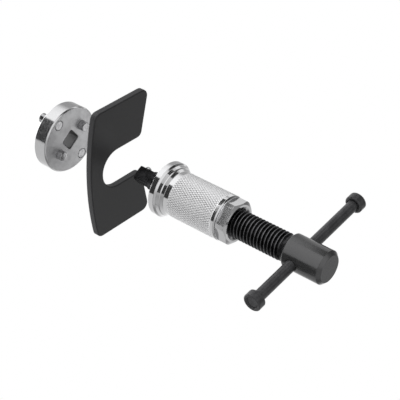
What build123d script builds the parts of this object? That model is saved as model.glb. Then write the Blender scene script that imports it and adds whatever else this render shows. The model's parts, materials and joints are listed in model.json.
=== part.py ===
"""Screw-type brake caliper piston tool, shown laid out along its own axis.

Millimetres. +X runs along the tool's axis towards the T-handle, +Z along the long side of the
reaction plate, and +Y towards the open side of the plate's slot. The pieces are drawn from the
flange face that bears on the plate, and written with the origin at the middle of the grip.
"""
from math import cos, radians, sin, sqrt, tan
import os

from build123d import *

os.makedirs("parts", exist_ok=True)

# Clearances between pieces
running_clearance = 0.05
socket_clearance = 0.15
bar_clearance = 0.30
ball_clearance = 0.05
cut_margin = 1.0

# Sleeve with its thrust flange, measured from the flange's front face
flange_d = 36.0
flange_rim_width = 3.65
flange_front_chamfer = 0.6
flange_rear_chamfer = 1.05
hub_step_d = 32.2
hub_cone_length = 1.9
hub_step_chamfer = 0.45
grip_cone_length = 2.0
grip_d = 29.4
grip_length = 39.05
grip_end_chamfer = 0.65
front_wall = 5.5
front_bore_chamfer = 0.5
sleeve_bore_d = 19.0

# Hexagon nut pressed into the rear of the sleeve
nut_flats = 26.0
nut_corner_d = 28.5
nut_turn = 18.0
nut_groove_d = 26.4
nut_groove_width = 0.4
nut_collar_length = 0.7
nut_collar_chamfer = 0.3
nut_hex_length = 6.8
nut_end_d = 24.4
nut_chamfer_angle = 30.0
nut_mouth_d = 21.8
nut_spigot_d = 21.2
nut_spigot_length = 5.3
nut_spigot_chamfer = 0.4

# Screw spindle
screw_d = 17.9
screw_pitch = 2.5
thread_depth = 1.45
thread_crest = 0.3
thread_root = 0.65
thread_turns = 20
pilot_d = 14.8
pilot_chamfer = 0.3
shaft_d = 12.0
shaft_reach = 12.1
shaft_chamfer = 0.5
shoulder_inset = 40.2
screw_end = 93.0
relief_d = 16.6
relief_length = 2.9
head_d = 21.65
head_length = 27.5
head_front_chamfer = 0.8
head_end_chamfer = 2.1
bar_hole_inset = 7.5

# Drive square and its ball detent
square_size = 9.5
square_length = 10.4
square_corner = 1.2
square_end_chamfer = 0.5
drive_angle = 38.0
ball_d = 5.0
ball_stand = 2.0
ball_setback = 6.8
spring_wire_d = 0.5
spring_turns = 5
pocket_floor = 3.2

# Guide ring and the snap ring that holds it on the plain shaft
guide_length = 4.0
guide_chamfer = 0.4
snap_thickness = 1.0
snap_groove_depth = 0.6
snap_outer_d = 14.6
snap_gap = 3.6

# T-bar and its end caps
bar_d = 7.2
bar_angle = 9.2
bar_span = 104.6
bar_offset = 5.3
bar_end_inset = 0.8
bar_end_chamfer = 0.4
cap_d = 11.8
cap_length = 5.8
cap_chamfer = 0.6
cap_recess_d = 8.8
cap_recess_depth = 0.8

# Reaction plate, laid out in front of the flange
plate_gap = 38.3
plate_thickness = 4.8
plate_height = 91.8
plate_back_y = -27.4
plate_back_radius = 197.0
plate_front_y = 15.7
plate_front_lean = 12.83
plate_corner = 5.0
plate_edge = 0.9
slot_width = 26.7
slot_centre_y = -3.2
slot_mouth_corner = 4.0

# Piston adapter, laid out in front of the plate
adapter_gap = 83.8
adapter_d = 46.0
adapter_thickness = 10.6
adapter_front_chamfer = 0.9
adapter_rear_chamfer = 0.7
socket_chamfer = 0.8
pin_angle = 33.0
pin_d = 6.6
pin_shank_d = 7.0
pin_chamfer = 0.5
front_pin_pcd = 24.4
front_pin_stand = 4.1
front_pin_depth = 6.0
rear_pin_rim = 1.65
rear_pin_stand = 5.0
rear_pin_ring = 0.2

# Places along the axis that follow from the sizes above
hub_start = flange_front_chamfer + flange_rim_width + flange_rear_chamfer
step_start = hub_start + hub_cone_length
grip_start = step_start + hub_step_chamfer + grip_cone_length
grip_end = grip_start + grip_length
sleeve_end = grip_end + grip_end_chamfer
nut_hex_start = sleeve_end + nut_groove_width + nut_collar_length
nut_end = nut_hex_start + nut_hex_length
spigot_start = sleeve_end - nut_spigot_length
thread_start = screw_end - thread_turns * screw_pitch
head_start = screw_end + relief_length
head_end = head_start + head_length
bar_x = head_start + bar_hole_inset
snap_start = shoulder_inset - guide_length - snap_thickness - running_clearance
ball_x = -shaft_reach - ball_setback
ball_radius_out = square_size / 2 + ball_stand - ball_d / 2
rear_pin_pcd = adapter_d - pin_shank_d - 2 * rear_pin_rim
origin_x = (grip_start + grip_end) / 2


def turned(points):
    """Solid of revolution about the tool's axis from (x, radius) points."""
    outline = Polyline(*[(x, r) for x, r in points], close=True)
    return revolve(make_face(outline), axis=Axis.X, revolution_arc=360)


def rod(x_start, x_end, diameter):
    """Plain cylinder on the tool's axis."""
    radius = diameter / 2
    return turned([(x_start, 0), (x_start, radius), (x_end, radius), (x_end, 0)])


def square_prism(x_start, x_end, side, corner):
    """Square bar on the tool's axis, turned to the drive angle."""
    section = Plane.YZ * Rot(0, 0, drive_angle) * RectangleRounded(side, side, corner)
    return Pos(x_start, 0, 0) * extrude(section, x_end - x_start, dir=(1, 0, 0))


def radial_frame(x, angle):
    """Frame at x on the axis whose Z runs outwards at an angle from +Y towards +Z."""
    outwards = (0, cos(radians(angle)), sin(radians(angle)))
    return Plane(origin=(x, 0, 0), x_dir=(1, 0, 0), z_dir=outwards)


def around(count, pcd, first_angle):
    """Places of a hole circle in the YZ plane."""
    places = []
    for index in range(count):
        angle = radians(first_angle + index * 360 / count)
        places.append(Pos(0, pcd / 2 * cos(angle), pcd / 2 * sin(angle)))
    return places


def make_sleeve():
    """Chromed grip: thrust flange, stepped hub and the long cylinder that is knurled."""
    flange_r = flange_d / 2
    step_r = hub_step_d / 2
    grip_r = grip_d / 2
    bore_r = sleeve_bore_d / 2
    shaft_r = shaft_d / 2 + running_clearance
    seat_r = nut_spigot_d / 2
    return turned(
        [
            (0, shaft_r + front_bore_chamfer),
            (0, flange_r - flange_front_chamfer),
            (flange_front_chamfer, flange_r),
            (flange_front_chamfer + flange_rim_width, flange_r),
            (hub_start, flange_r - flange_rear_chamfer),
            (step_start, step_r),
            (step_start + hub_step_chamfer, step_r - hub_step_chamfer),
            (grip_start, grip_r),
            (grip_end, grip_r),
            (sleeve_end, grip_r - grip_end_chamfer),
            (sleeve_end, seat_r),
            (spigot_start, seat_r),
            (spigot_start, bore_r),
            (front_wall, bore_r),
            (front_wall, shaft_r),
            (front_bore_chamfer, shaft_r),
        ]
    )


def make_nut():
    """Hexagon nut with turned corners, a collar, and a spigot that is pressed into the sleeve."""
    bore_r = screw_d / 2 + running_clearance
    corner_r = nut_corner_d / 2
    end_r = nut_end_d / 2
    mouth_r = nut_mouth_d / 2
    end_slope = (corner_r - end_r) * tan(radians(nut_chamfer_angle))
    collar_start = sleeve_end + nut_groove_width
    blank = turned(
        [
            (spigot_start, bore_r),
            (spigot_start, nut_spigot_d / 2 - nut_spigot_chamfer),
            (spigot_start + nut_spigot_chamfer, nut_spigot_d / 2),
            (sleeve_end, nut_spigot_d / 2),
            (sleeve_end, nut_groove_d / 2),
            (collar_start, nut_groove_d / 2),
            (collar_start, corner_r - nut_collar_chamfer),
            (collar_start + nut_collar_chamfer, corner_r),
            (nut_end - end_slope, corner_r),
            (nut_end, end_r),
            (nut_end, mouth_r),
            (nut_end - (mouth_r - bore_r), bore_r),
        ]
    )
    hexagon = Plane.YZ * Rot(0, 0, nut_turn) * RegularPolygon(
        nut_flats / 2, 6, major_radius=False, rotation=30
    )
    hex_bar = Pos(nut_hex_start, 0, 0) * extrude(hexagon, nut_hex_length, dir=(1, 0, 0))
    ring = rod(nut_hex_start, nut_end, nut_corner_d + cut_margin)
    return blank - (ring - hex_bar)


def screw_profile():
    """Thread profile along the screw: ridges at its pitch, drawn as rings and not as a helix."""
    crest_r = screw_d / 2
    root_r = crest_r - thread_depth
    flank = (screw_pitch - thread_crest - thread_root) / 2
    profile = []
    for index in range(thread_turns):
        ridge = thread_start + index * screw_pitch
        profile += [
            (ridge, root_r),
            (ridge + flank, crest_r),
            (ridge + flank + thread_crest, crest_r),
            (ridge + 2 * flank + thread_crest, root_r),
        ]
    return profile


def make_spindle():
    """Drive square, plain shaft, ridged screw, relief and cross-drilled head."""
    shaft_r = shaft_d / 2
    pilot_r = pilot_d / 2
    relief_r = relief_d / 2
    head_r = head_d / 2
    groove_r = shaft_r - snap_groove_depth
    groove_end = snap_start + snap_thickness + running_clearance
    body = turned(
        [
            (-shaft_reach, 0),
            (-shaft_reach, shaft_r - shaft_chamfer),
            (-shaft_reach + shaft_chamfer, shaft_r),
            (snap_start, shaft_r),
            (snap_start, groove_r),
            (groove_end, groove_r),
            (groove_end, shaft_r),
            (shoulder_inset, shaft_r),
            (shoulder_inset, pilot_r - pilot_chamfer),
            (shoulder_inset + pilot_chamfer, pilot_r),
            (thread_start, pilot_r),
            *screw_profile(),
            (screw_end, relief_r),
            (head_start, relief_r),
            (head_start, head_r - head_front_chamfer),
            (head_start + head_front_chamfer, head_r),
            (head_end - head_end_chamfer, head_r),
            (head_end, head_r - head_end_chamfer),
            (head_end, 0),
        ]
    )
    tip_x = -shaft_reach - square_length
    square = square_prism(tip_x, -shaft_reach + shaft_chamfer, square_size, square_corner)
    point_r = square_size / sqrt(2) - square_end_chamfer
    nose = turned(
        [
            (tip_x, 0),
            (tip_x, square_size / 2 - square_end_chamfer / 2),
            (tip_x + square_end_chamfer, point_r),
            (tip_x + 2 * square_end_chamfer, square_size),
            (0, square_size),
            (0, 0),
        ]
    )
    cross_hole = radial_frame(bar_x, bar_angle) * Cylinder(bar_d / 2 + bar_clearance, 2 * head_d)
    pocket_height = pocket_floor + square_size
    pocket = radial_frame(ball_x, drive_angle) * Pos(0, 0, -pocket_floor) * Cylinder(
        ball_d / 2 + ball_clearance,
        pocket_height,
        align=(Align.CENTER, Align.CENTER, Align.MIN),
    )
    return body + (square & nose) - cross_hole - pocket


def make_detent_ball():
    """Steel ball that stands proud of one flat of the square."""
    return radial_frame(ball_x, drive_angle) * Pos(0, 0, ball_radius_out) * Sphere(ball_d / 2)


def make_detent_spring():
    """Round-wire compression spring under the ball."""
    coil_r = ball_d / 2 - spring_wire_d / 2 - ball_clearance
    ball_foot = ball_radius_out - sqrt((ball_d / 2) ** 2 - coil_r**2)
    height = ball_foot + pocket_floor - 2 * spring_wire_d
    path = Helix(height / spring_turns, height, coil_r)
    start = path @ 0
    wire = Plane(origin=start, z_dir=path % 0) * Circle(spring_wire_d / 2)
    coil = sweep(wire, path=path, is_frenet=True)
    return radial_frame(ball_x, drive_angle) * Pos(0, 0, spring_wire_d - pocket_floor) * coil


def make_guide_ring():
    """Bronze ring that centres the plain shaft in the sleeve's bore."""
    outer_r = sleeve_bore_d / 2 - running_clearance
    inner_r = shaft_d / 2 + running_clearance
    start = shoulder_inset - guide_length
    return turned(
        [
            (start, inner_r),
            (start, outer_r - guide_chamfer),
            (start + guide_chamfer, outer_r),
            (shoulder_inset - guide_chamfer, outer_r),
            (shoulder_inset, outer_r - guide_chamfer),
            (shoulder_inset, inner_r),
        ]
    )


def make_snap_ring():
    """Open spring ring in the shaft's groove, in front of the guide ring."""
    outer_r = snap_outer_d / 2
    inner_r = shaft_d / 2 - snap_groove_depth + running_clearance
    ring = turned(
        [
            (snap_start + running_clearance / 2, inner_r),
            (snap_start + running_clearance / 2, outer_r),
            (snap_start + running_clearance / 2 + snap_thickness, outer_r),
            (snap_start + running_clearance / 2 + snap_thickness, inner_r),
        ]
    )
    gap = Pos(snap_start + snap_thickness / 2, 0, outer_r) * Box(
        2 * snap_thickness, snap_gap, 2 * (outer_r - inner_r) + snap_groove_depth
    )
    return ring - gap


def along_bar(points):
    """Turned piece on the T-bar's axis from (place along the bar, radius) points."""
    piece = turned(points)
    upright = Rot(0, -90, 0) * piece
    return radial_frame(bar_x, bar_angle) * upright


def make_t_bar():
    """Sliding cross bar through the head, with chamfered ends."""
    radius = bar_d / 2
    low = bar_offset - bar_span / 2 + bar_end_inset
    high = bar_offset + bar_span / 2 - bar_end_inset
    return along_bar(
        [
            (low, 0),
            (low, radius - bar_end_chamfer),
            (low + bar_end_chamfer, radius),
            (high - bar_end_chamfer, radius),
            (high, radius - bar_end_chamfer),
            (high, 0),
        ]
    )


def make_cap(outwards):
    """Collar pressed on one end of the T-bar; outwards is 1 or -1 along the bar."""
    outer_r = cap_d / 2
    hole_r = bar_d / 2
    recess_r = cap_recess_d / 2
    lip = (recess_r - hole_r) / 2
    tip = bar_span / 2
    root = tip - cap_length
    profile = [
        (root, recess_r),
        (root, outer_r - cap_chamfer),
        (root + cap_chamfer, outer_r),
        (tip - cap_chamfer, outer_r),
        (tip, outer_r - cap_chamfer),
        (tip, recess_r),
        (tip - cap_recess_depth, hole_r + lip),
        (tip - cap_recess_depth, hole_r),
        (root + cap_recess_depth, hole_r),
        (root + cap_recess_depth, hole_r + lip),
    ]
    return along_bar([(bar_offset + outwards * place, r) for place, r in profile])


def make_plate():
    """Reaction plate: bowed back edge, leaning front edges and a round-ended slot."""
    half_height = plate_height / 2
    half_slot = slot_width / 2
    lean = tan(radians(plate_front_lean))
    bow = plate_back_radius - sqrt(plate_back_radius**2 - half_height**2)
    back_corner_y = plate_back_y + bow
    top_front_y = plate_front_y + lean * half_height
    mouth_y = plate_front_y + lean * half_slot
    outline = (
        Line((mouth_y, half_slot), (top_front_y, half_height))
        + Line((top_front_y, half_height), (back_corner_y, half_height))
        + ThreePointArc(
            (back_corner_y, half_height), (plate_back_y, 0), (back_corner_y, -half_height)
        )
        + Line((back_corner_y, -half_height), (top_front_y, -half_height))
        + Line((top_front_y, -half_height), (mouth_y, -half_slot))
        + Line((mouth_y, -half_slot), (slot_centre_y, -half_slot))
        + ThreePointArc(
            (slot_centre_y, -half_slot),
            (slot_centre_y - half_slot, 0),
            (slot_centre_y, half_slot),
        )
        + Line((slot_centre_y, half_slot), (mouth_y, half_slot))
    )
    sheet = make_face(outline)
    outer = [v for v in sheet.vertices() if abs(v.Y) > half_slot + cut_margin]
    sheet = fillet(outer, plate_corner)
    mouth = [
        v
        for v in sheet.vertices()
        if abs(abs(v.Y) - half_slot) < 0.01 and abs(v.X - mouth_y) < 0.01
    ]
    sheet = fillet(mouth, slot_mouth_corner)
    rear_x = -plate_gap - plate_thickness
    slab = Pos(rear_x, 0, 0) * extrude(Plane.YZ * sheet, plate_thickness, dir=(1, 0, 0))
    rims = slab.faces().filter_by(Axis.X).edges()
    return fillet(rims, plate_edge)


def make_adapter():
    """Steel disc with the square socket and its lead-in, a ball dimple and four pin holes."""
    radius = adapter_d / 2
    front = -adapter_gap
    rear = front - adapter_thickness
    disc = turned(
        [
            (rear, 0),
            (rear, radius - adapter_rear_chamfer),
            (rear + adapter_rear_chamfer, radius),
            (front - adapter_front_chamfer, radius),
            (front, radius - adapter_front_chamfer),
            (front, 0),
        ]
    )
    socket_side = square_size + 2 * socket_clearance
    disc -= square_prism(rear - cut_margin, front + cut_margin, socket_side, square_corner)
    by_x = disc.faces().sort_by(Axis.X)
    mouths = [by_x[0].inner_wires()[0], by_x[-1].inner_wires()[0]]
    disc = chamfer([edge for mouth in mouths for edge in mouth.edges()], socket_chamfer)
    dimple_r = ball_d / 2 + ball_clearance
    dimple = radial_frame(front - ball_setback, drive_angle) * Pos(0, 0, ball_radius_out)
    disc -= dimple * Sphere(dimple_r)
    for place in around(2, front_pin_pcd, pin_angle):
        disc -= place * rod(front - front_pin_depth, front + cut_margin, pin_shank_d)
    for place in around(2, rear_pin_pcd, pin_angle + 90):
        disc -= place * rod(rear - cut_margin, front + cut_margin, pin_shank_d)
        disc -= place * turned(
            [
                (front - rear_pin_ring, 0),
                (front - rear_pin_ring, pin_shank_d / 2),
                (front, pin_shank_d / 2 + rear_pin_ring),
                (front, 0),
            ]
        )
    return disc


def make_pins(pcd, first_angle, shank_end, seat, tip):
    """Pair of shouldered pins; each shank is pressed into the disc up to its seat at the face."""
    radius = pin_d / 2
    shank_r = pin_shank_d / 2
    outwards = 1 if tip > seat else -1
    pin = turned(
        [
            (shank_end, 0),
            (shank_end, shank_r - pin_chamfer),
            (shank_end + outwards * pin_chamfer, shank_r),
            (seat, shank_r),
            (seat, radius),
            (tip - outwards * pin_chamfer, radius),
            (tip, radius - pin_chamfer),
            (tip, 0),
        ]
    )
    return Compound(children=[place * pin for place in around(2, pcd, first_angle)])


adapter_front = -adapter_gap
adapter_rear = adapter_front - adapter_thickness
pieces = {
    "knurled_sleeve": make_sleeve(),
    "hex_nut": make_nut(),
    "spindle": make_spindle(),
    "detent_ball": make_detent_ball(),
    "detent_spring": make_detent_spring(),
    "guide_ring": make_guide_ring(),
    "snap_ring": make_snap_ring(),
    "t_bar": make_t_bar(),
    "t_bar_cap_near": make_cap(-1),
    "t_bar_cap_far": make_cap(1),
    "reaction_plate": make_plate(),
    "adapter_disc": make_adapter(),
    "adapter_front_pins": make_pins(
        front_pin_pcd,
        pin_angle,
        adapter_front - front_pin_depth,
        adapter_front,
        adapter_front + front_pin_stand,
    ),
    "adapter_rear_pins": make_pins(
        rear_pin_pcd,
        pin_angle + 90,
        adapter_front,
        adapter_rear,
        adapter_rear - rear_pin_stand,
    ),
}
for name, shape in pieces.items():
    export_step(Pos(-origin_x, 0, 0) * shape, f"parts/{name}.step")
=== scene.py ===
# Screw-type brake caliper piston tool, in the order in which it is put together.
import json
from math import atan2, cos, pi, radians, sin, sqrt, tan

import bmesh
import bpy
from mathutils import Matrix, Vector


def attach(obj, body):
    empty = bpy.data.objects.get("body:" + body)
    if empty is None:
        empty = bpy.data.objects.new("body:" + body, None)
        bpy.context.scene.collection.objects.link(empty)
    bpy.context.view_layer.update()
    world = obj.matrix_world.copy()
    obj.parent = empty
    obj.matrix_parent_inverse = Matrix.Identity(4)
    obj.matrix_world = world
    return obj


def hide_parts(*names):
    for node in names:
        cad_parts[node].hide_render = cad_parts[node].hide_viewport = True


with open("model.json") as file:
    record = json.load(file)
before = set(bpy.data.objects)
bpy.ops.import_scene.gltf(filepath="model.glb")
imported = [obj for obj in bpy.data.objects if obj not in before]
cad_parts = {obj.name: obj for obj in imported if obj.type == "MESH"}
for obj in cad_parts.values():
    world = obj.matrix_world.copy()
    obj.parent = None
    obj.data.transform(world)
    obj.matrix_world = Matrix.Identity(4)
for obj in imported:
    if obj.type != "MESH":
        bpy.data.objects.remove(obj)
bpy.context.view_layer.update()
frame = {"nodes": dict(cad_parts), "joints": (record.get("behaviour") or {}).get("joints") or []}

# Sleeve: the hand grip, turned from one steel bar with its thrust flange and stepped hub.
# The long cylinder is diamond knurled between two plain bands, and the whole is chromed.
# It carries the nut in its rear end and guides the spindle's shaft in its front wall.
axis_x = Vector((1, 0, 0))
axis_y = Vector((0, 1, 0))


def reach(node, direction):
    """How far a node of the frame extends each way along a direction, in millimetres."""
    along = [1000 * corner.co.dot(direction) for corner in frame["nodes"][node].data.vertices]
    return min(along), max(along)


flange_face, sleeve_end = reach("knurled_sleeve", axis_x)
flange_r = reach("knurled_sleeve", axis_y)[1]
flange_front_chamfer = 0.6
flange_rim_end = flange_face + 4.25
flange_rear_chamfer = 1.05
hub_start = flange_rim_end + flange_rear_chamfer
hub_end = hub_start + 1.9
hub_end_r = 16.1
hub_step = 0.45
grip_start = hub_end + hub_step + 2.0
grip_end_chamfer = 0.65
grip_end = sleeve_end - grip_end_chamfer
grip_r = 14.7
shaft_bore_r = 6.05
shaft_bore_chamfer = 0.5
front_wall = flange_face + 5.5
sleeve_bore_r = 9.5
nut_seat_r = 10.6
nut_seat_start = sleeve_end - 5.3
knurl_ridges = 56
knurl_half_pitch = 1.455
knurl_rows = 23
knurl_land = 0.42
knurl_depth = 0.24
knurl_start = grip_start + 3.25
knurl_end = knurl_start + knurl_rows * knurl_half_pitch
sleeve_ease = 0.16
# Share of the chrome's colour left in the knurl's grooves, which are painted darker as shade.
knurl_groove_painted_shade = 0.45
knurl_roughness = 0.17
knurl_satin_share = 0.4


class Field:
    """One socket of a node tree; arithmetic on it adds Math nodes to the tree."""

    def __init__(self, socket):
        self.socket = socket

    def node(self, kind, settings, inputs, output=0):
        """Adds a node, gives it its settings and inputs, and returns one of its outputs."""
        tree = self.socket.id_data
        made = tree.nodes.new(kind)
        for name, value in settings.items():
            setattr(made, name, value)
        for name, value in inputs.items():
            if isinstance(value, Field):
                tree.links.new(value.socket, made.inputs[name])
            else:
                made.inputs[name].default_value = value
        return Field(made.outputs[output])

    def maths(self, operation, *operands):
        return self.node("ShaderNodeMath", {"operation": operation}, dict(enumerate(operands)))

    def __add__(self, other):
        return self.maths("ADD", self, other)

    def __sub__(self, other):
        return self.maths("SUBTRACT", self, other)

    def __rsub__(self, other):
        return self.maths("SUBTRACT", other, self)

    def __mul__(self, other):
        return self.maths("MULTIPLY", self, other)

    def __truediv__(self, other):
        return self.maths("DIVIDE", self, other)

    def __gt__(self, other):
        return self.maths("GREATER_THAN", self, other)

    def __lt__(self, other):
        return self.maths("LESS_THAN", self, other)

    __radd__ = __add__
    __rmul__ = __mul__

    def between(self, low, high, start=0.0, end=1.0):
        """Goes from start to end while the field goes from low to high, and stays there."""
        spans = {"From Min": low, "From Max": high, "To Min": start, "To Max": end}
        return self.node("ShaderNodeMapRange", {}, {"Value": self, **spans})


def eased(points, ease, steps=3):
    """An (x, radius) outline with each of its inner corners rounded over at most ease."""
    corners = [Vector(point) for point in points]
    outline = [corners[0]]
    for before, corner, after in zip(corners, corners[1:], corners[2:]):
        back = before - corner
        on = after - corner
        start = corner + back.normalized() * min(ease, 0.45 * back.length)
        end = corner + on.normalized() * min(ease, 0.45 * on.length)
        for step in range(steps + 1):
            t = step / steps
            outline.append((1 - t) ** 2 * start + 2 * t * (1 - t) * corner + t * t * end)
    return outline + [corners[-1]]


def even_angles(count):
    return [2 * pi * index / count for index in range(count)]


def lathe(outline, angles):
    """Mesh of an (x, radius) outline turned about the tool's axis."""
    shell = bmesh.new()
    rings = []
    for x, r in outline:
        if r < 1e-6:
            rings.append([shell.verts.new((x, 0, 0))] * len(angles))
        else:
            rings.append([shell.verts.new((x, r * cos(a), r * sin(a))) for a in angles])
    for ring, following in zip(rings, rings[1:]):
        for k in range(len(angles)):
            shell.faces.new(dict.fromkeys((ring[k - 1], ring[k], following[k], following[k - 1])))
    return shell


def merged(*shells):
    """One mesh of several, joined where their edges meet, with its faces turned outwards."""
    whole = bmesh.new()
    for shell in shells:
        part = bpy.data.meshes.new("part")
        shell.to_mesh(part)
        shell.free()
        whole.from_mesh(part)
        bpy.data.meshes.remove(part)
    bmesh.ops.remove_doubles(whole, verts=whole.verts, dist=1e-3)
    bmesh.ops.recalc_face_normals(whole, faces=whole.faces)
    return whole


def as_object(name, shell):
    mesh = bpy.data.meshes.new(name)
    shell.to_mesh(mesh)
    shell.free()
    piece = bpy.data.objects.new(name, mesh)
    bpy.context.scene.collection.objects.link(piece)
    return piece


def as_shell(piece):
    """The evaluated shape of an object as a bmesh; the object is used up."""
    evaluated = piece.evaluated_get(bpy.context.evaluated_depsgraph_get())
    mesh = bpy.data.meshes.new_from_object(evaluated)
    shell = bmesh.new()
    shell.from_mesh(mesh)
    bpy.data.objects.remove(piece)
    bpy.data.meshes.remove(mesh)
    return shell


def finished(name, shell, finish, crease=32):
    """The piece in metres, smooth but for edges sharper than crease, with its material."""
    bmesh.ops.scale(shell, vec=(0.001, 0.001, 0.001), verts=shell.verts)
    for face in shell.faces:
        face.smooth = True
        face.material_index = 0
    for edge in shell.edges:
        edge.smooth = len(edge.link_faces) == 2 and edge.calc_face_angle() < radians(crease)
    piece = as_object(name, shell)
    piece.data.materials.clear()
    piece.data.materials.append(finish)
    weigh = piece.modifiers.new("flat faces stay flat", "WEIGHTED_NORMAL")
    weigh.keep_sharp = True
    return piece


def new_tree(name, inputs):
    """An empty geometry tree with named inputs, and the fields of those inputs."""
    tree = bpy.data.node_groups.new(name, "GeometryNodeTree")
    tree.interface.new_socket("Geometry", in_out="OUTPUT", socket_type="NodeSocketGeometry")
    for label, kind in inputs.items():
        tree.interface.new_socket(label, in_out="INPUT", socket_type="NodeSocket" + kind)
    entry = tree.nodes.new("NodeGroupInput")
    return tree, {label: Field(entry.outputs[label]) for label in inputs}


def close_tree(geometry, finish):
    """Ends a geometry tree in plain faces that carry a material."""
    real = geometry.node("GeometryNodeRealizeInstances", {}, {"Geometry": geometry})
    painted = real.node("GeometryNodeSetMaterial", {}, {"Geometry": real, "Material": finish})
    tree = geometry.socket.id_data
    leave = tree.nodes.new("NodeGroupOutput")
    tree.links.new(painted.socket, leave.inputs["Geometry"])


def grown(tree, sizes):
    """The mesh that a geometry tree makes from these sizes."""
    holder = as_object(tree.name, bmesh.new())
    growth = holder.modifiers.new(tree.name, "NODES")
    growth.node_group = tree
    for item in tree.interface.items_tree:
        if item.in_out == "INPUT":
            growth[item.identifier] = sizes[item.name]
    return as_shell(holder)


def new_finish(name):
    """An empty material, and the place on its piece in millimetres."""
    material = bpy.data.materials.new(name)
    material.use_nodes = True
    tree = material.node_tree
    tree.nodes.clear()
    spot = Field(tree.nodes.new("ShaderNodeTexCoord").outputs["Object"])
    millimetres = {"Vector": spot, "Scale": 1000}
    place = spot.node("ShaderNodeVectorMath", {"operation": "SCALE"}, millimetres)
    return material, place


def part_of(place, letter):
    return place.node("ShaderNodeSeparateXYZ", {}, {"Vector": place}, output=letter)


def axis_distance(place):
    """Distance from the tool's axis, in millimetres."""
    y, z = part_of(place, "Y"), part_of(place, "Z")
    return y.maths("SQRT", y * y + z * z)


def vector(x, y, z):
    """A vector of three fields or numbers, the first of which is a field."""
    return x.node("ShaderNodeCombineXYZ", {}, {"X": x, "Y": y, "Z": z})


def noise(place, scale, detail=2.0, roughness=0.5):
    sizes = {"Vector": place, "Scale": scale, "Detail": detail, "Roughness": roughness}
    return place.node("ShaderNodeTexNoise", {}, sizes)


def turning_marks(place, fineness):
    """Rings about the tool's axis, as a lathe tool leaves them."""
    rings = vector(part_of(place, "X"), axis_distance(place), 0.0)
    return noise(rings, fineness, detail=3.0, roughness=0.7)


def tint(share, plain, other):
    """Goes from one colour to another with a field; each is a field or three numbers."""
    plain, other = (end if isinstance(end, Field) else (*end, 1.0) for end in (plain, other))
    colours = {0: share, 6: plain, 7: other}
    return share.node("ShaderNodeMix", {"data_type": "RGBA"}, colours, output=2)


def relief(height, strength, distance):
    """A normal for a small relief whose height is a field; distance is in metres."""
    sizes = {"Height": height, "Strength": strength, "Distance": distance}
    return height.node("ShaderNodeBump", {}, sizes)


def paint(material, place, colour, roughness, metallic, normal):
    """Ends a material in one surface shader; colour and normal are fields."""
    inputs = {"Base Color": colour, "Roughness": roughness, "Metallic": metallic, "Normal": normal}
    shader = place.node("ShaderNodeBsdfPrincipled", {}, inputs)
    leave = material.node_tree.nodes.new("ShaderNodeOutputMaterial")
    material.node_tree.links.new(shader.socket, leave.inputs["Surface"])


def chrome_finish(name, tone, roughness, groove_r, crest_r):
    """Bright plated steel with faint turning marks; a knurl is satin, with painted shade darkening
    its grooves.
    """
    material, place = new_finish(name)
    marks = turning_marks(place, 2.2)
    cloud = noise(place, 0.09, detail=4.0)
    outside = axis_distance(place)
    x = part_of(place, "X")
    in_knurl = (x > knurl_start) * (x < knurl_end) * (outside > groove_r - 0.5)
    # The knurl's grooves are painted darker: painted shade between the diamonds.
    groove = in_knurl * outside.between(groove_r, crest_r, 1.0, 0.0)
    colour = tint(groove, tone, tuple(knurl_groove_painted_shade * part for part in tone))
    rough = roughness + marks * 0.06 + cloud.between(0.4, 0.7) * 0.05 + in_knurl * knurl_roughness
    metallic = 1 - in_knurl * knurl_satin_share
    skin = relief(marks, 0.10, 0.00004)
    paint(material, place, colour, rough, metallic, skin)
    return material


def knurl_tree(finish):
    """Diamond knurl: pyramids with flat tops between two crossing sets of helical grooves."""
    tree, size = new_tree(
        "knurl",
        {
            "Grid": "Int",
            "Ridges": "Float",
            "Rows": "Float",
            "Half Pitch": "Float",
            "Start": "Float",
            "Crest Radius": "Float",
            "Depth": "Float",
            "Land": "Float",
        },
    )
    grid = size["Grid"]
    span = grid - 1
    counts = {"Size X": span, "Size Y": span, "Vertices X": grid, "Vertices Y": grid}
    net = grid.node("GeometryNodeMeshGrid", {}, counts)
    spot = net.node("GeometryNodeInputPosition", {}, {})
    along, across = part_of(spot, "X"), part_of(spot, "Y")
    turn = along + across
    row = along - across + size["Rows"] / 2
    ridges = size["Ridges"]
    outside = (
        (turn < 0.5 - ridges)
        + (turn > ridges + 0.5)
        + (row < -0.5)
        + (row > size["Rows"] + 0.5)
    )
    waste = {"Geometry": net, "Selection": outside > 0.5}
    band = net.node("GeometryNodeDeleteGeometry", {"domain": "FACE"}, waste)
    lift = band.socket.id_data.nodes.new("GeometryNodeExtrudeMesh")
    lift.mode = "FACES"
    lift.inputs["Offset Scale"].default_value = 0.0
    lift.inputs["Individual"].default_value = True
    tree.links.new(band.socket, lift.inputs["Mesh"])
    top = Field(lift.outputs["Top"])
    shrink = {"Geometry": Field(lift.outputs["Mesh"]), "Selection": top, "Scale": size["Land"]}
    studs = top.node("GeometryNodeScaleElements", {}, shrink)
    spot = top.node("GeometryNodeInputPosition", {}, {})
    along, across = part_of(spot, "X"), part_of(spot, "Y")
    row = along - across + size["Rows"] / 2
    beyond = (row < 0.01) + (row > size["Rows"] - 0.01)
    trimmed = row.maths("MINIMUM", row.maths("MAXIMUM", row, 0.0), size["Rows"])
    x = size["Start"] + trimmed * size["Half Pitch"]
    angle = (along + across) * pi / size["Ridges"]
    high = top.maths("MINIMUM", top + beyond, 1.0)
    radius = size["Crest Radius"] - size["Depth"] * (1 - high)
    wrapped = vector(x, radius * angle.maths("COSINE", angle), radius * angle.maths("SINE", angle))
    rolled = studs.node("GeometryNodeSetPosition", {}, {"Geometry": studs, "Position": wrapped})
    seam = {"Geometry": rolled, "Distance": 0.002}
    close_tree(rolled.node("GeometryNodeMergeByDistance", {}, seam), finish)
    return tree


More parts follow.
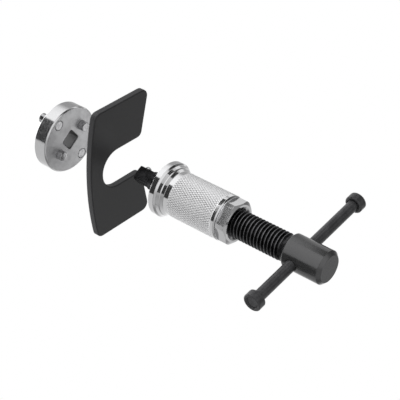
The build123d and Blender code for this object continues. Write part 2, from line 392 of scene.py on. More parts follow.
chrome = chrome_finish("chrome_sleeve", (0.93, 0.93, 0.94), 0.06, grip_r - knurl_depth, grip_r)
knurl_sizes = {
    "Grid": 2 * (knurl_ridges + knurl_rows) + 1,
    "Ridges": float(knurl_ridges),
    "Rows": float(knurl_rows),
    "Half Pitch": knurl_half_pitch,
    "Start": knurl_start,
    "Crest Radius": grip_r,
    "Depth": knurl_depth,
    "Land": knurl_land,
}
knurl = grown(knurl_tree(chrome), knurl_sizes)
sleeve_angles = even_angles(2 * knurl_ridges)
sleeve_outline = eased(
    [
        (knurl_start, grip_r),
        (grip_start, grip_r),
        (hub_end + hub_step, hub_end_r - hub_step),
        (hub_end, hub_end_r),
        (hub_start, flange_r - flange_rear_chamfer),
        (flange_rim_end, flange_r),
        (flange_face + flange_front_chamfer, flange_r),
        (flange_face, flange_r - flange_front_chamfer),
        (flange_face, shaft_bore_r + shaft_bore_chamfer),
        (flange_face + shaft_bore_chamfer, shaft_bore_r),
        (front_wall, shaft_bore_r),
        (front_wall, sleeve_bore_r),
        (nut_seat_start, sleeve_bore_r),
        (nut_seat_start, nut_seat_r),
        (sleeve_end, nut_seat_r),
        (sleeve_end, grip_r - grip_end_chamfer),
        (grip_end, grip_r),
        (knurl_end, grip_r),
    ],
    sleeve_ease,
)
sleeve = finished("sleeve_chromed", merged(lathe(sleeve_outline, sleeve_angles), knurl), chrome)
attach(sleeve, "sleeve")
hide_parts("knurled_sleeve")

# Nut: a hexagon nut pressed into the rear of the sleeve up to its collar.
# Its corners and end are turned, and its thread carries the spindle's screw.
nut_front, nut_end = reach("hex_nut", axis_x)
nut_collar_start = sleeve_end + 0.4
nut_hex_start = nut_collar_start + 0.7
nut_groove_r = 13.2
nut_corner_r = 14.25
nut_end_r = 12.2
nut_mouth_r = 10.9
nut_end_slope = (nut_corner_r - nut_end_r) * tan(radians(30))
nut_flat_r = 13.0
nut_turn = radians(18)
nut_spigot_chamfer = 0.4
nut_collar_chamfer = 0.3
nut_bore_chamfer = 0.3
thread_crest_r = 8.95
nut_bore_r = thread_crest_r + 0.1


def carved(body, tool, operation="DIFFERENCE"):
    """One mesh cut by another, or joined to it; both are used up."""
    holder = as_object("body", body)
    cutter = as_object("tool", tool)
    cut = holder.modifiers.new("cut", "BOOLEAN")
    cut.object = cutter
    cut.operation = operation
    cut.solver = "EXACT"
    shell = as_shell(holder)
    bpy.data.objects.remove(cutter)
    bmesh.ops.remove_doubles(shell, verts=shell.verts, dist=1e-3)
    bmesh.ops.dissolve_limit(
        shell,
        angle_limit=radians(0.4),
        use_dissolve_boundaries=False,
        verts=shell.verts,
        edges=shell.edges,
    )
    return shell


def softened(shell, width, crease=30, segments=2, chosen=lambda edge: True):
    """The mesh with its sharp edges rounded over a width."""
    sharp = [
        edge
        for edge in shell.edges
        if edge.is_manifold and edge.calc_face_angle() > radians(crease) and chosen(edge)
    ]
    bmesh.ops.bevel(
        shell,
        geom=sharp,
        offset=width,
        offset_type="OFFSET",
        segments=segments,
        profile=0.5,
        affect="EDGES",
        clamp_overlap=True,
    )
    return shell


def tube(outer, inner, x_start, x_end):
    """Solid between two (y, z) outlines of as many points, drawn along the tool's axis."""
    solid = bmesh.new()
    loops = []
    for outline, x in ((outer, x_start), (outer, x_end), (inner, x_end), (inner, x_start)):
        loops.append([solid.verts.new((x, y, z)) for y, z in outline])
    for loop, following in zip(loops, loops[1:] + loops[:1]):
        for k in range(len(outer)):
            solid.faces.new((loop[k - 1], loop[k], following[k], following[k - 1]))
    bmesh.ops.recalc_face_normals(solid, faces=solid.faces)
    return solid


def polygon(radius, count, first_angle):
    """Corners of a regular (y, z) polygon about the tool's axis."""
    angles = [first_angle + turn for turn in even_angles(count)]
    return [(radius * cos(angle), radius * sin(angle)) for angle in angles]


nut_chrome = chrome_finish("chrome_nut", (0.78, 0.78, 0.79), 0.09, 0.0, 1.0)
nut_thread_start = nut_front + nut_bore_chamfer
nut_thread_end = nut_end - (nut_mouth_r - nut_bore_r)
nut_angles = even_angles(96)
nut_blank = merged(
    lathe(
        eased(
            [
                (nut_thread_start, nut_bore_r),
                (nut_front, nut_bore_r + nut_bore_chamfer),
                (nut_front, nut_seat_r - nut_spigot_chamfer),
                (nut_front + nut_spigot_chamfer, nut_seat_r),
                (sleeve_end, nut_seat_r),
                (sleeve_end, nut_groove_r),
                (nut_collar_start, nut_groove_r),
                (nut_collar_start, nut_corner_r - nut_collar_chamfer),
                (nut_collar_start + nut_collar_chamfer, nut_corner_r),
                (nut_end - nut_end_slope, nut_corner_r),
                (nut_end, nut_end_r),
                (nut_end, nut_mouth_r),
                (nut_thread_end, nut_bore_r),
            ],
            0.12,
        ),
        nut_angles,
    ),
    lathe([(nut_thread_start, nut_bore_r), (nut_thread_end, nut_bore_r)], nut_angles),
)
hex_corner_r = nut_flat_r / cos(pi / 6)
hex_waste = tube(
    polygon(2 * nut_corner_r, 6, nut_turn + pi / 6),
    polygon(hex_corner_r, 6, nut_turn + pi / 6),
    nut_hex_start,
    nut_end + 5,
)
nut_shell = softened(carved(nut_blank, hex_waste), 0.16, crease=24)
nut = finished("nut_hexagon", nut_shell, nut_chrome)
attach(nut, "sleeve")
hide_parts("hex_nut")

# Spindle: a long steel screw, blacked in oxide. Its front end is a plain shaft with a drive
# square and a ball detent, its middle a rolled thread, its rear a plain head drilled across.
# A bronze ring and a snap ring on the shaft keep it centred in the sleeve's bore.
spindle_tip, head_end = reach("spindle", axis_x)
shaft_end = flange_face - 12.1
shaft_r = 6.0
shoulder_x = flange_face + 40.2
thread_start = shoulder_x + 2.8
thread_end = flange_face + 93.3
head_start = flange_face + 95.9
head_r = 10.825
head_front_chamfer = 0.8
head_end_chamfer = 2.1
square_half = 4.75
square_corner = 1.2
square_chamfer = 0.5
drive_turn = radians(38)
ball_x = shaft_end - 6.8
ball_pocket_r = 2.55
ball_pocket_floor = 3.2
bar_x = sum(reach("t_bar", axis_x)) / 2
bar_r = 3.6
bar_hole_r = bar_r + 0.3
bar_direction = Vector(next(j for j in frame["joints"] if j["name"] == "t_bar_slide")["axis"])
thread_pitch = 2.5
thread_root_r = 7.5
thread_pilot_r = 7.4
thread_blank_r = 8.3
thread_crest_x = flange_face + 91.27
thread_fade_in = 0.6
thread_fade_out = 1.2
thread_steps = 16
shaft_chamfer = 0.5
pilot_chamfer = 0.3
head_tone = (0.125, 0.125, 0.127)


def thread_tree(finish):
    """Right-hand screw thread between a pilot and a relief, fading out at both ends."""
    tree, size = new_tree(
        "thread",
        {
            "Rows": "Int",
            "Columns": "Int",
            "First Crest": "Float",
            "Pitch": "Float",
            "Steps": "Float",
            "Start": "Float",
            "End": "Float",
            "Fade In": "Float",
            "Fade Out": "Float",
            "Crest Radius": "Float",
            "Root Radius": "Float",
            "Pilot Radius": "Float",
            "Blank Radius": "Float",
        },
    )
    rows, columns = size["Rows"], size["Columns"]
    counts = {"Size X": rows - 1, "Size Y": 1.0, "Vertices X": rows, "Vertices Y": columns}
    net = rows.node("GeometryNodeMeshGrid", {}, counts)
    spot = net.node("GeometryNodeInputPosition", {}, {})
    pitches = (part_of(spot, "X") + (rows - 1) / 2) / size["Steps"]
    turn = part_of(spot, "Y") + 0.5
    raw_x = size["First Crest"] + size["Pitch"] * (pitches + turn)
    x = raw_x.maths("MINIMUM", raw_x.maths("MAXIMUM", raw_x, size["Start"]), size["End"])
    off_crest = (pitches + 0.5).maths("FRACT", pitches + 0.5) - 0.5
    off_crest = off_crest.maths("ABSOLUTE", off_crest)
    cut = off_crest.between(0.06, 0.37, size["Crest Radius"], size["Root Radius"])
    fade_in = ((x - size["Start"]) / size["Fade In"]).between(0.0, 1.0)
    fade_out = ((size["End"] - x) / size["Fade Out"]).between(0.0, 1.0)
    pilot, blank = size["Pilot Radius"], size["Blank Radius"]
    begun = pilot + (cut - pilot) * fade_in
    radius = blank + (begun - blank) * fade_out
    angle = turn * (2 * pi)
    wound = vector(x, radius * angle.maths("COSINE", angle), radius * angle.maths("SINE", angle))
    screw = net.node("GeometryNodeSetPosition", {}, {"Geometry": net, "Position": wound})
    seam = {"Geometry": screw, "Distance": 0.002}
    close_tree(screw.node("GeometryNodeMergeByDistance", {}, seam), finish)
    return tree


def thread_sizes(start, end, columns, fades, radii):
    """Inputs of the thread tree for a stretch of the tool's screw thread."""
    turns_back = int((thread_crest_x - start) / thread_pitch) + 3
    first_crest = thread_crest_x - turns_back * thread_pitch
    turns = int((end - first_crest) / thread_pitch) + 2
    crest_r, root_r, pilot_r, blank_r = radii
    return {
        "Rows": turns * thread_steps + 1,
        "Columns": columns + 1,
        "First Crest": first_crest,
        "Pitch": thread_pitch,
        "Steps": float(thread_steps),
        "Start": start,
        "End": end,
        "Fade In": fades[0],
        "Fade Out": fades[1],
        "Crest Radius": crest_r,
        "Root Radius": root_r,
        "Pilot Radius": pilot_r,
        "Blank Radius": blank_r,
    }


def prism(outline, x_start, x_end):
    """Solid of a (y, z) outline drawn along the tool's axis."""
    solid = bmesh.new()
    front = [solid.verts.new((x_start, y, z)) for y, z in outline]
    rear = [solid.verts.new((x_end, y, z)) for y, z in outline]
    solid.faces.new(front)
    solid.faces.new(rear)
    for k in range(len(outline)):
        solid.faces.new((front[k - 1], front[k], rear[k], rear[k - 1]))
    bmesh.ops.recalc_face_normals(solid, faces=solid.faces)
    return solid


def rounded_square(half, corner, turn, steps=5):
    """(y, z) outline of a square with round corners, turned about the tool's axis."""
    outline = []
    for quarter in range(4):
        middle = Vector((half - corner, half - corner))
        for step in range(steps + 1):
            angle = step / steps * pi / 2
            point = middle + corner * Vector((cos(angle), sin(angle)))
            point.rotate(Matrix.Rotation(quarter * pi / 2 + turn, 2))
            outline.append(tuple(point))
    return outline


def lined_up(shell, direction, centre):
    """A mesh made along X, turned to a direction and moved to a centre."""
    turn = axis_x.rotation_difference(direction).to_matrix().to_4x4()
    bmesh.ops.transform(shell, matrix=Matrix.Translation(centre) @ turn, verts=shell.verts)
    return shell


def rod(start, end, radius, count=48):
    return merged(lathe([(start, 0), (start, radius), (end, radius), (end, 0)], even_angles(count)))


def opened(shell, x):
    """The mesh without the flat face that closes it at x."""
    caps = [face for face in shell.faces if all(abs(v.co.x - x) < 1e-3 for v in face.verts)]
    bmesh.ops.delete(shell, geom=caps, context="FACES_ONLY")
    return shell


def black_finish(name, tone, worn_and_highlight, roughness, crest_r=None):
    """Blacked steel with mottled oxide; given a crest radius, it is the spindle's.

    Then the screw's crests are painted lighter, as rubbed metal and as a painted highlight, and the
    head is smoother and greyer.
    """
    material, place = new_finish(name)
    metallic = 0.4
    cloud = noise(place, 0.22, detail=5.0, roughness=0.6)
    grain = noise(place, 3.5, detail=3.0, roughness=0.6)
    colour_share = cloud.between(0.35, 0.75) * 0.35
    if crest_r is not None:
        outside = axis_distance(place)
        x = part_of(place, "X")
        on_screw = (x > thread_start) * (x < thread_end)
        # The screw's crests are painted lighter: partly rubbed oxide, partly a painted highlight
        # along each crest.
        on_crest = on_screw * outside.between(crest_r - 0.15, crest_r - 0.03)
        colour_share = colour_share + on_crest * 0.75
    colour = tint(colour_share, tone, worn_and_highlight)
    rough = roughness + cloud * 0.08 + grain * 0.05
    if crest_r is not None:
        on_head = x > head_start - 0.5
        colour = tint(on_head, colour, head_tone)
        rough = rough - on_head * 0.12
        metallic = on_screw.between(0.0, 1.0, 0.85, 1.0)
    skin = relief(grain, 0.25, 0.00004)
    paint(material, place, colour, rough, metallic, skin)
    return material


oxide_tone = (0.012, 0.012, 0.013)
# Lighter tone of the oxide's mottle and of the painted highlight on the screw's crests.
worn_and_highlight_tone = (0.28, 0.28, 0.29)
spindle_black = black_finish("black_oxide", oxide_tone, worn_and_highlight_tone, 0.24, thread_crest_r)
screw_columns = 96
screw = grown(
    thread_tree(spindle_black),
    thread_sizes(
        thread_start,
        thread_end,
        screw_columns,
        (thread_fade_in, thread_fade_out),
        (thread_crest_r, thread_root_r, thread_pilot_r, thread_blank_r),
    ),
)
screw_angles = even_angles(screw_columns)
shaft = merged(
    lathe(
        eased(
            [
                (shaft_end, 0),
                (shaft_end, shaft_r - shaft_chamfer),
                (shaft_end + shaft_chamfer, shaft_r),
                (shoulder_x, shaft_r),
                (shoulder_x, thread_pilot_r - pilot_chamfer),
                (shoulder_x + pilot_chamfer, thread_pilot_r),
                (thread_start, thread_pilot_r),
                (thread_start, 0),
            ],
            0.15,
        ),
        screw_angles,
    )
)
square_outline = rounded_square(square_half, square_corner, drive_turn)
square_bar = prism(square_outline, spindle_tip, shaft_end + 1)
point_r = sqrt(2) * square_half - square_chamfer
nose = merged(
    lathe(
        [
            (spindle_tip, 0),
            (spindle_tip, square_half - square_chamfer / 2),
            (spindle_tip + square_chamfer, point_r),
            (spindle_tip + 2 * square_chamfer, 2 * square_half),
            (shaft_end + 2, 2 * square_half),
            (shaft_end + 2, 0),
        ],
        even_angles(64),
    )
)
shaft = carved(shaft, carved(square_bar, nose, "INTERSECT"), "UNION")
ball_way = Vector((0, cos(drive_turn), sin(drive_turn)))
pocket_drill = rod(-ball_pocket_floor, 2 * square_half, ball_pocket_r, 32)
pocket_drill = lined_up(pocket_drill, ball_way, Vector((ball_x, 0, 0)))
shaft = softened(
    carved(shaft, pocket_drill),
    0.18,
    crease=35,
    chosen=lambda edge: edge.verts[0].co.x < shaft_end,
)
head = merged(
    lathe(
        eased(
            [
                (thread_end, 0),
                (thread_end, thread_blank_r),
                (head_start, thread_blank_r),
                (head_start, head_r - head_front_chamfer),
                (head_start + head_front_chamfer, head_r),
                (head_end - head_end_chamfer, head_r),
                (head_end, head_r - head_end_chamfer),
                (head_end, 0),
            ],
            0.25,
        ),
        screw_angles,
    )
)
bar_centre = Vector((bar_x, 0, 0))
cross_drill = lined_up(rod(-2 * head_r, 2 * head_r, bar_hole_r), bar_direction, bar_centre)
head = softened(
    carved(head, cross_drill),
    0.2,
    crease=35,
    chosen=lambda edge: edge.verts[0].co.x > head_start + 0.5,
)
spindle_shell = merged(opened(shaft, thread_start), screw, opened(head, thread_end))
spindle = finished("spindle_blacked", spindle_shell, spindle_black)
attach(spindle, "spindle")
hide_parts("spindle")


def plain_finish(name, tone, other, roughness, metallic, scale=0.4):
    """Bare machined metal with a little stain and a fine grain."""
    material, place = new_finish(name)
    stain = noise(place, scale, detail=4.0, roughness=0.6)
    grain = noise(place, 8 * scale, detail=3.0, roughness=0.7)
    colour = tint(stain.between(0.35, 0.7), tone, other)
    rough = roughness + grain * 0.12
    skin = relief(grain, 0.2, 0.00003)
    paint(material, place, colour, rough, metallic, skin)
    return material


def dressed(node, finish):
    """Gives a node of the frame its finish."""
    mesh = frame["nodes"][node].data
    mesh.materials.clear()
    mesh.materials.append(finish)


ball_steel = plain_finish("ball_steel", (0.86, 0.86, 0.87), (0.74, 0.74, 0.76), 0.03, 1.0)
dressed("detent_ball", ball_steel)
spring_steel = plain_finish("spring_steel", (0.33, 0.33, 0.34), (0.24, 0.23, 0.23), 0.3, 1.0, 1.0)
dressed("detent_spring", spring_steel)
dressed("snap_ring", spring_steel)
dressed("guide_ring", plain_finish("bronze", (0.55, 0.37, 0.19), (0.45, 0.28, 0.13), 0.28, 1.0))

# T-bar: a plain round bar that slides through the head's cross hole, with a turned collar
# pressed on each end so that it can't drop out. All three pieces are blacked and oiled.
bar_low, bar_high = reach("t_bar", bar_direction)
bar_end_chamfer = 0.4
cap_recess_r = 4.4
cap_recess_depth = 0.8
cap_r = 5.9
cap_chamfer = 0.6

bar_black = black_finish("black_bar", (0.040, 0.040, 0.042), (0.13, 0.13, 0.135), 0.24)
bar_shell = merged(
    lathe(
        eased(
            [
                (bar_low, 0),
                (bar_low, bar_r - bar_end_chamfer),
                (bar_low + bar_end_chamfer, bar_r),
                (bar_high - bar_end_chamfer, bar_r),
                (bar_high, bar_r - bar_end_chamfer),
                (bar_high, 0),
            ],
            0.15,
        ),
        even_angles(48),
    )
)
bar = finished("t_bar_rod", lined_up(bar_shell, bar_direction, bar_centre), bar_black)
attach(bar, "t_bar")
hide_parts("t_bar")


def end_cap(name, node):
    """Turned collar with a recess in each face, round the end of the bar."""
    low, high = reach(node, bar_direction)
    lip_r = (cap_recess_r + bar_r) / 2
    half = [
        (high - cap_recess_depth, bar_r),
        (high - cap_recess_depth, lip_r),
        (high, cap_recess_r),
        (high, cap_r - cap_chamfer),
        (high - cap_chamfer, cap_r),
    ]
    other = [(low + high - place, radius) for place, radius in reversed(half)]
    outline = eased(half + other + half[:1], 0.18)
    shell = merged(lathe(outline, even_angles(64)))
    cap = finished(name, lined_up(shell, bar_direction, bar_centre), bar_black)
    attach(cap, "t_bar")
    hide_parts(node)


end_cap("cap_near", "t_bar_cap_near")
end_cap("cap_far", "t_bar_cap_far")

# Reaction plate: cut from thick sheet steel, with a bowed back edge, leaning front edges and a
# round-ended slot that slips over the shaft. Its edges are rounded and it is coated satin black.
plate_rear, plate_front = reach("reaction_plate", axis_x)
axis_z = Vector((0, 0, 1))
plate_half = reach("reaction_plate", axis_z)[1]
plate_back_y = reach("reaction_plate", axis_y)[0]
plate_back_radius = 197.0
plate_front_y = 15.7
plate_front_lean = radians(12.83)
plate_corner = 5.0
plate_edge = 0.9
slot_half = 13.35
slot_centre_y = -3.2
slot_mouth_corner = 4.0


def rounded_corner(before, corner, after, radius, steps=10):
    """Points of the arc that rounds the corner between two straight lines."""
    back = (Vector(before) - Vector(corner)).normalized()
    on = (Vector(after) - Vector(corner)).normalized()
    half = back.angle(on) / 2
    middle = Vector(corner) + (back + on).normalized() * radius / sin(half)
    first = Vector(corner) + back * radius / tan(half) - middle
    last = Vector(corner) + on * radius / tan(half) - middle
    sweep = first.angle_signed(last)
    points = []
    for step in range(steps + 1):
        point = first.copy()
        point.rotate(Matrix.Rotation(-sweep * step / steps, 2))
        points.append(tuple(middle + point))
    return points


def plate_outline():
    """(y, z) outline of the plate, from the slot's bottom round by the front to its start."""
    lean = tan(plate_front_lean)
    bow = plate_back_radius - sqrt(plate_back_radius**2 - plate_half**2)
    back_y = plate_back_y + bow
    mouth = (plate_front_y + lean * slot_half, slot_half)
    top = (plate_front_y + lean * plate_half, plate_half)
    back = (back_y, plate_half)
    near_back = atan2(plate_half - plate_corner, plate_back_radius)
    centre_y = plate_back_y + plate_back_radius
    start_bow = (
        centre_y - plate_back_radius * cos(near_back),
        plate_back_radius * sin(near_back),
    )
    upper = []
    for step in range(13):
        angle = pi - step / 12 * pi / 2
        upper.append((slot_centre_y + slot_half * cos(angle), slot_half * sin(angle)))
    upper += rounded_corner(upper[-1], mouth, top, slot_mouth_corner)
    upper += rounded_corner(mouth, top, back, plate_corner)
    upper += rounded_corner(top, back, start_bow, plate_corner)
    for step in range(17):
        angle = near_back * (1 - step / 16)
        point = (centre_y - plate_back_radius * cos(angle), plate_back_radius * sin(angle))
        if point[1] < upper[-1][1] - 0.5 or step:
            upper.append(point)
    lower = [(y, -z) for y, z in reversed(upper[1:-1])]
    return upper + lower


def coating_finish(name, tone, rubbed):
    """Satin powder coat: fine orange peel, and a little rubbed along the plate's edges."""
    material, place = new_finish(name)
    peel = noise(place, 1.6, detail=2.0)
    cloud = noise(place, 0.05, detail=3.0)
    x = part_of(place, "X")
    from_middle = x.maths("ABSOLUTE", x - (plate_front + plate_rear) / 2)
    half_sheet = (plate_front - plate_rear) / 2
    edge = from_middle.between(half_sheet - 0.75, half_sheet - 0.3, 1.0, 0.0)
    colour = tint(edge * 0.5 + cloud.between(0.3, 0.7) * 0.15, tone, rubbed)
    rough = 0.38 + cloud * 0.1 + peel * 0.06
    skin = relief(peel, 0.18, 0.00006)
    paint(material, place, colour, rough, 0.0, skin)
    return material


satin_black = coating_finish("black_plate", (0.012, 0.012, 0.013), (0.036, 0.036, 0.038))
plate_shell = prism(plate_outline(), plate_rear, plate_front)
plate_shell = softened(plate_shell, plate_edge, crease=60, segments=4)
plate = finished("plate_coated", plate_shell, satin_black)
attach(plate, "plate")
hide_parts("reaction_plate")

# Adapter: a turned steel disc with a square socket for the spindle's drive square.
# Its faces are ground and its rim is turned bright, and it holds two pairs of pressed-in pins.
disc_rear, disc_front = reach("adapter_disc", axis_x)
disc_r = reach("adapter_disc", axis_y)[1]
disc_front_chamfer = 0.9
disc_rear_chamfer = 0.7
socket_half = square_half + 0.15
socket_chamfer = 0.8
pin_turn = radians(33)
pin_r = 3.3
pin_shank_r = 3.5
pin_chamfer = 0.5
front_pin_circle_r = 12.2
rear_pin_rim = 1.65
rear_pin_circle_r = disc_r - pin_shank_r - rear_pin_rim
front_pin_low, front_pin_high = reach("adapter_front_pins", axis_x)
rear_pin_low, rear_pin_high = reach("adapter_rear_pins", axis_x)
rear_pin_ring = 0.2


def pair(circle_r, first_angle):
    """Places of two opposite pins on a hole circle."""
    angles = (first_angle, first_angle + pi)
    return [Vector((0, circle_r * cos(angle), circle_r * sin(angle))) for angle in angles]


def moved(shell, place):
    bmesh.ops.translate(shell, vec=place, verts=shell.verts)
    return shell


def square_socket():
    """Cutter for the socket, which widens at both faces of the disc."""
    stations = [
        (disc_rear - 1, socket_chamfer + 1),
        (disc_rear + socket_chamfer, 0),
        (disc_front - socket_chamfer, 0),
        (disc_front + 1, socket_chamfer + 1),
    ]
    cutter = bmesh.new()
    loops = []
    for x, wider in stations:
        outline = rounded_square(socket_half + wider, square_corner + wider, drive_turn)
        loops.append([cutter.verts.new((x, y, z)) for y, z in outline])
    for loop, following in zip(loops, loops[1:]):
        for k in range(len(loop)):
            cutter.faces.new((loop[k - 1], loop[k], following[k], following[k - 1]))
    cutter.faces.new(loops[0])
    cutter.faces.new(loops[-1])
    bmesh.ops.recalc_face_normals(cutter, faces=cutter.faces)
    return cutter


def disc_finish(name, tone):
    """Ground faces with a fine turned grain, a smooth turned rim, and a socket painted dark as
    shade and dull steel.
    """
    material, place = new_finish(name)
    outside = axis_distance(place)
    on_rim = outside.between(disc_r - disc_front_chamfer - 0.1, disc_r - disc_front_chamfer + 0.1)
    marks = turning_marks(place, 3.0)
    cloud = noise(place, 0.15, detail=5.0, roughness=0.6)
    # The socket's walls and the rear face round it are painted dark: painted shade inside the
    # socket, and partly the dull unplated steel of its walls.
    in_socket = (outside < 1.6 * socket_half) * (part_of(place, "X") < disc_front - 0.3)
    stain = cloud.between(0.42, 0.62) * (1 - on_rim) * 0.12
    colour = tint(stain.maths("MAXIMUM", stain, in_socket * 0.85), tone, (0.05, 0.05, 0.05))
    rough = 0.42 + marks * 0.10 + cloud.between(0.3, 0.7) * 0.08 - on_rim * 0.38
    skin = relief(marks, 0.35, 0.00004)
    paint(material, place, colour, rough, 1.0, skin)
    return material


bright_disc = disc_finish("bright_disc", (0.82, 0.82, 0.83))
disc_shell = merged(
    lathe(
        eased(
            [
                (disc_rear, 0),
                (disc_rear, disc_r - disc_rear_chamfer),
                (disc_rear + disc_rear_chamfer, disc_r),
                (disc_front - disc_front_chamfer, disc_r),
                (disc_front, disc_r - disc_front_chamfer),
                (disc_front, 0),
            ],
            0.2,
        ),
        even_angles(128),
    )
)
disc_shell = carved(disc_shell, square_socket())
for place in pair(front_pin_circle_r, pin_turn):
    hole = rod(front_pin_low, disc_front + 1, pin_shank_r, 40)
    disc_shell = carved(disc_shell, moved(hole, place))
for place in pair(rear_pin_circle_r, pin_turn + pi / 2):
    hole = merged(
        lathe(
            [
                (disc_rear - 1, 0),
                (disc_rear - 1, pin_shank_r),
                (disc_front - rear_pin_ring, pin_shank_r),
                (disc_front + 1, pin_shank_r + rear_pin_ring + 1),
                (disc_front + 1, 0),
            ],
            even_angles(40),
        )
    )
    disc_shell = carved(disc_shell, moved(hole, place))
disc_shell = softened(disc_shell, 0.12, crease=35)
disc = finished("adapter_disc_turned", disc_shell, bright_disc)
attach(disc, "adapter")
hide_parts("adapter_disc")

dowel_steel = plain_finish("dowel_steel", (0.66, 0.66, 0.67), (0.34, 0.34, 0.35), 0.05, 1.0, 0.8)


def adapter_pins(name, node, circle_r, first_angle, ends):
    """Pair of shouldered pins; ends are the places of the shank's end, the seat and the tip."""
    shank_end, seat, tip = ends
    outwards = 1 if tip > seat else -1
    outline = eased(
        [
            (shank_end, 0),
            (shank_end, pin_shank_r - pin_chamfer),
            (shank_end + outwards * pin_chamfer, pin_shank_r),
            (seat, pin_shank_r),
            (seat, pin_r),
            (tip - outwards * pin_chamfer, pin_r),
            (tip, pin_r - pin_chamfer),
            (tip, 0),
        ],
        0.15,
    )
    places = pair(circle_r, first_angle)
    shells = [moved(merged(lathe(outline, even_angles(40))), place) for place in places]
    pins = finished(name, merged(*shells), dowel_steel)
    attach(pins, "adapter")
    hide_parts(node)


adapter_pins(
    "pins_front",
    "adapter_front_pins",
    front_pin_circle_r,
    pin_turn,
    (front_pin_low, disc_front, front_pin_high),
)
adapter_pins(
    "pins_rear",
    "adapter_rear_pins",
    rear_pin_circle_r,
    pin_turn + pi / 2,
    (rear_pin_high, disc_rear, rear_pin_low),
)

# Studio: a white floor and backdrop that only the camera sees, pale surroundings for light
# and reflections, and dark and white cards that only reflections see. One soft lamp hangs
# overhead and one shines on the grip from below.
backdrop_r = 8.0
floor_z = -0.07
near_card_r = 0.20
far_card_r = 0.25
surroundings = [
    (0, 0.34),
    (34, 0.34),
    (56, 0.84),
    (80, 0.96),
    (110, 0.96),
    (160, 0.86),
    (186, 0.50),
    (202, 0.52),
    (262, 0.56),
    (284, 0.66),
    (304, 1.05),
    (322, 1.05),
    (342, 0.40),
]


def glowing(name, colour, strength):
    material = bpy.data.materials.new(name)
    material.use_nodes = True
    tree = material.node_tree
    tree.nodes.clear()
    glow = tree.nodes.new("ShaderNodeEmission")
    glow.inputs["Color"].default_value = (*colour, 1.0)
    glow.inputs["Strength"].default_value = strength
    leave = tree.nodes.new("ShaderNodeOutputMaterial")
    tree.links.new(glow.outputs["Emission"], leave.inputs["Surface"])
    return material


def background(name, sheet):
    """A pale surface behind the tool that only the camera sees."""
    made = as_object(name, sheet)
    made.data.materials.append(white_ground)
    made.visible_glossy = False
    made.visible_diffuse = False
    made.visible_shadow = False


white_ground = glowing("white_ground", (1, 1, 1), 1.0)
floor_sheet = bmesh.new()
low_enough = Matrix.Translation((0, 0, floor_z))
bmesh.ops.create_circle(
    floor_sheet,
    cap_ends=True,
    segments=64,
    radius=backdrop_r,
    matrix=low_enough,
)
background("floor", floor_sheet)
room = bmesh.new()
bmesh.ops.create_icosphere(room, subdivisions=4, radius=backdrop_r)
background("backdrop", room)


def card(name, distance, stations, finish):
    """Curved card about the tool's axis that is seen only in reflections.

    Each station is a place along the axis, and the degrees round it where the card starts and ends.
    """
    sheet = bmesh.new()
    rows = []
    for x, low, high in stations:
        angles = [radians(low + (high - low) * step / 10) for step in range(11)]
        rows.append([sheet.verts.new((x, distance * cos(a), distance * sin(a))) for a in angles])
    for row, following in zip(rows, rows[1:]):
        for k in range(10):
            sheet.faces.new((row[k], row[k + 1], following[k + 1], following[k]))
    made = as_object(name, sheet)
    made.data.materials.append(finish)
    made.visible_camera = False
    made.visible_diffuse = False
    made.visible_shadow = False


black_card = glowing("black_card", (1, 1, 1), 0.03)
near_camera = [
    (-0.350, 108, 186),
    (-0.190, 116, 185),
    (-0.155, 120, 184),
    (-0.122, 137, 183),
    (-0.117, 137, 183),
    (-0.114, 106, 183),
    (-0.100, 106, 183),
    (-0.096, 150, 180),
    (-0.080, 158, 178),
]
card("card_by_camera", far_card_r, near_camera, black_card)
card("card_over_nut", near_card_r, [(-0.103, 62, 103), (-0.078, 60, 101)], black_card)
card("card_beside_camera", far_card_r, [(0.02, 131, 170), (0.09, 131, 170)], black_card)
card("card_over_hub", near_card_r, [(-0.006, 40, 84), (0.05, 48, 96)], black_card)
over_bar = [(0.07, 20, 45), (0.13, 30, 62), (0.21, 36, 80), (0.24, 40, 86)]
card("card_over_bar", near_card_r, over_bar, black_card)
below = [(-0.100, 190, 225), (-0.060, 172, 240), (-0.034, 172, 236), (-0.008, 172, 220)]
card("card_below", far_card_r, below, black_card)
white_card = glowing("white_card", (1, 1, 1), 0.75)
card("card_behind_nut", far_card_r, [(-0.128, 0, 34), (-0.097, 0, 34)], white_card)
card("card_behind_head", far_card_r, [(-0.050, -22, 48), (-0.010, -22, 48)], white_card)


def soft_light(name, direction, distance, size, watts):
    """Square lamp that faces the tool and isn't seen in its reflections."""
    lamp = bpy.data.lights.new(name, "AREA")
    lamp.size = size
    lamp.energy = watts
    holder = bpy.data.objects.new(name, lamp)
    holder.location = Vector(direction).normalized() * distance
    holder.rotation_euler = Vector(direction).to_track_quat("Z", "Y").to_euler()
    holder.visible_glossy = False
    bpy.context.scene.collection.objects.link(holder)


soft_light("light_overhead", (0.1, -0.1, 1.0), 1.2, 0.7, 7)
soft_light("light_low", (0.0, -0.65, -0.75), 1.2, 0.7, 10)

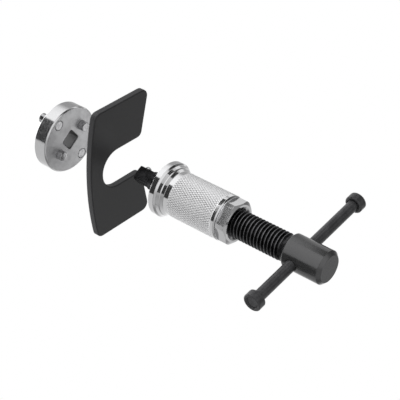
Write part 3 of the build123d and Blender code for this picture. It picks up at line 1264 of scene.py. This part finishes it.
world = bpy.data.worlds.new("studio")
world.use_nodes = True
world.node_tree.nodes.clear()
outlook = Field(world.node_tree.nodes.new("ShaderNodeTexCoord").outputs["Generated"])
round_axis = part_of(outlook, "Z").maths("ARCTAN2", part_of(outlook, "Z"), part_of(outlook, "Y"))
ring = Field(world.node_tree.nodes.new("ShaderNodeValToRGB").outputs["Color"])
ramp = ring.socket.node.color_ramp
for place, (degrees_round, light) in enumerate(surroundings):
    if place < 2:
        step = ramp.elements[place]
    else:
        step = ramp.elements.new(1.0)
    step.position = degrees_round / 360
    step.color = (light, light, light, 1.0)
turns = round_axis / (2 * pi)
turn_share = turns.maths("FRACT", turns)
world.node_tree.links.new(turn_share.socket, ring.socket.node.inputs[0])
across = part_of(outlook, "X")
from_front = across.between(-0.80, -0.65, 2.4, 1.0) * across.between(-0.1, 0.35, 1.0, 0.4)
from_front = from_front * across.between(0.45, 0.58, 1.0, 2.0)
sky = ring.node("ShaderNodeBackground", {}, {"Color": ring, "Strength": from_front})
leave = world.node_tree.nodes.new("ShaderNodeOutputWorld")
world.node_tree.links.new(sky.socket, leave.inputs["Surface"])
bpy.context.scene.world = world

# Camera: where the photograph was taken from, with its lens length.
# Its place and turns were fitted to the tool's outlines in the photograph.
camera_place = Vector((0.390138, -0.482765, 0.433916))
camera_azimuth = radians(39.1146)
camera_elevation = radians(34.6948)
camera_roll = radians(1.6068)
lens = bpy.data.cameras.new("camera")
lens.lens = 112.093
lens.sensor_width = 36.0
right = Vector((cos(camera_azimuth), sin(camera_azimuth), 0))
back = Vector(
    (
        sin(camera_azimuth) * cos(camera_elevation),
        -cos(camera_azimuth) * cos(camera_elevation),
        sin(camera_elevation),
    )
)
upwards = back.cross(right)
rolled_right = right * cos(camera_roll) + upwards * sin(camera_roll)
rolled_up = upwards * cos(camera_roll) - right * sin(camera_roll)
camera = bpy.data.objects.new("camera", lens)
turned = Matrix((rolled_right, rolled_up, back)).transposed().to_4x4()
camera.matrix_world = Matrix.Translation(camera_place) @ turned
bpy.context.scene.collection.objects.link(camera)
bpy.context.scene.camera = camera
bpy.context.scene.view_settings.view_transform = "Standard"
